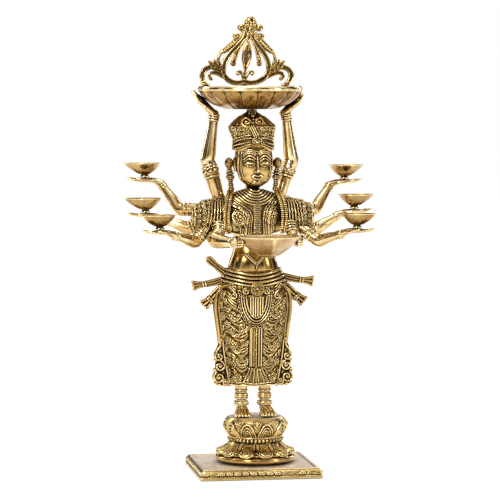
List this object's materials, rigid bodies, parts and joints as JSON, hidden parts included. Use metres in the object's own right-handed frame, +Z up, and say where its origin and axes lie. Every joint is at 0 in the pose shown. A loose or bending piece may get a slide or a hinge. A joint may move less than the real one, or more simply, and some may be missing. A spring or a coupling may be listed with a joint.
{
  "type": "figural oil lamp",
  "caption": "Standing figure on a double lotus that holds open oil bowls in its hands, with a pierced arch on the bowl over its head.",
  "frame": {"origin": "centre of the base plate's underside", "axes": "+Z up; the figure faces -Y; +X is to the right of someone who faces the figure"},
  "size_m": [0.3134, 0.192, 0.5599],
  "materials": {
    "cast_brass": "aged casting with dark recesses",
    "polished_brass": "polished on the high places, slightly aged",
    "dish_brass": "satin, slightly reddish",
    "screw_brass": "dull"
  },
  "bodies": {
    "figure": {"base_plate": "polished_brass", "base_screw_left": "screw_brass", "base_screw_right": "screw_brass", "lotus_lower": "polished_brass", "lotus_ring": "cast_brass", "lotus_upper": "polished_brass", "leg_left": "polished_brass", "leg_right": "polished_brass", "skirt": "cast_brass", "front_pleat": "cast_brass", "girdle": "cast_brass", "girdle_clasp": "cast_brass", "sash_fall_left": "cast_brass", "sash_fall_right": "cast_brass", "sash_loop_left": "cast_brass", "sash_end_left_upper": "cast_brass", "sash_end_right_upper": "cast_brass", "sash_end_left_lower": "cast_brass", "sash_end_right_lower": "cast_brass", "torso": "polished_brass", "bodice": "cast_brass", "head": "polished_brass", "crown": "cast_brass", "hair_bun": "cast_brass", "earring_left": "cast_brass", "sleeve_left": "cast_brass", "raised_arm_left": "polished_brass", "front_arm_left": "polished_brass", "front_bowl_rivet_left": "screw_brass", "earring_right": "cast_brass", "sleeve_right": "cast_brass", "raised_arm_right": "polished_brass", "front_arm_right": "polished_brass", "front_bowl_rivet_right": "screw_brass", "shoulder_bolt": "screw_brass", "front_bowl": "dish_brass", "side_arm_left_upper": "polished_brass", "side_arm_left_middle": "polished_brass", "side_arm_left_lower": "polished_brass", "side_arm_right_upper": "polished_brass", "side_arm_right_middle": "polished_brass", "side_arm_right_lower": "polished_brass", "top_bowl": "dish_brass", "top_bowl_screw": "screw_brass", "arch": "polished_brass", "arch_pin_left": "screw_brass", "arch_pin_right": "screw_brass"},
    "dish_left_upper": {"dish_left_upper": "dish_brass", "palm_screw_left_upper": "screw_brass"},
    "dish_left_middle": {"dish_left_middle": "dish_brass", "palm_screw_left_middle": "screw_brass"},
    "dish_left_lower": {"dish_left_lower": "dish_brass", "palm_screw_left_lower": "screw_brass"},
    "dish_right_upper": {"dish_right_upper": "dish_brass", "palm_screw_right_upper": "screw_brass"},
    "dish_right_middle": {"dish_right_middle": "dish_brass", "palm_screw_right_middle": "screw_brass"},
    "dish_right_lower": {"dish_right_lower": "dish_brass", "palm_screw_right_lower": "screw_brass"}
  },
  "joints": [
    {"name": "turn_dish_left_upper", "type": "hinge", "parent": "figure", "child": "dish_left_upper", "pos_m": [-0.127, 0.052, 0.3613], "axis": [0, 0, 1], "range_deg": [-35, 35]},
    {"name": "turn_dish_left_middle", "type": "hinge", "parent": "figure", "child": "dish_left_middle", "pos_m": [-0.13, 0.018, 0.3193], "axis": [0, 0, 1], "range_deg": [-35, 35]},
    {"name": "turn_dish_left_lower", "type": "hinge", "parent": "figure", "child": "dish_left_lower", "pos_m": [-0.122, -0.061, 0.3028], "axis": [0, 0, 1], "range_deg": [-35, 35]},
    {"name": "turn_dish_right_upper", "type": "hinge", "parent": "figure", "child": "dish_right_upper", "pos_m": [0.124, 0.052, 0.3578], "axis": [0, 0, 1], "range_deg": [-35, 35]},
    {"name": "turn_dish_right_middle", "type": "hinge", "parent": "figure", "child": "dish_right_middle", "pos_m": [0.13, 0.018, 0.3223], "axis": [0, 0, 1], "range_deg": [-35, 35]},
    {"name": "turn_dish_right_lower", "type": "hinge", "parent": "figure", "child": "dish_right_lower", "pos_m": [0.118, -0.061, 0.3028], "axis": [0, 0, 1], "range_deg": [-35, 35]}
  ]
}
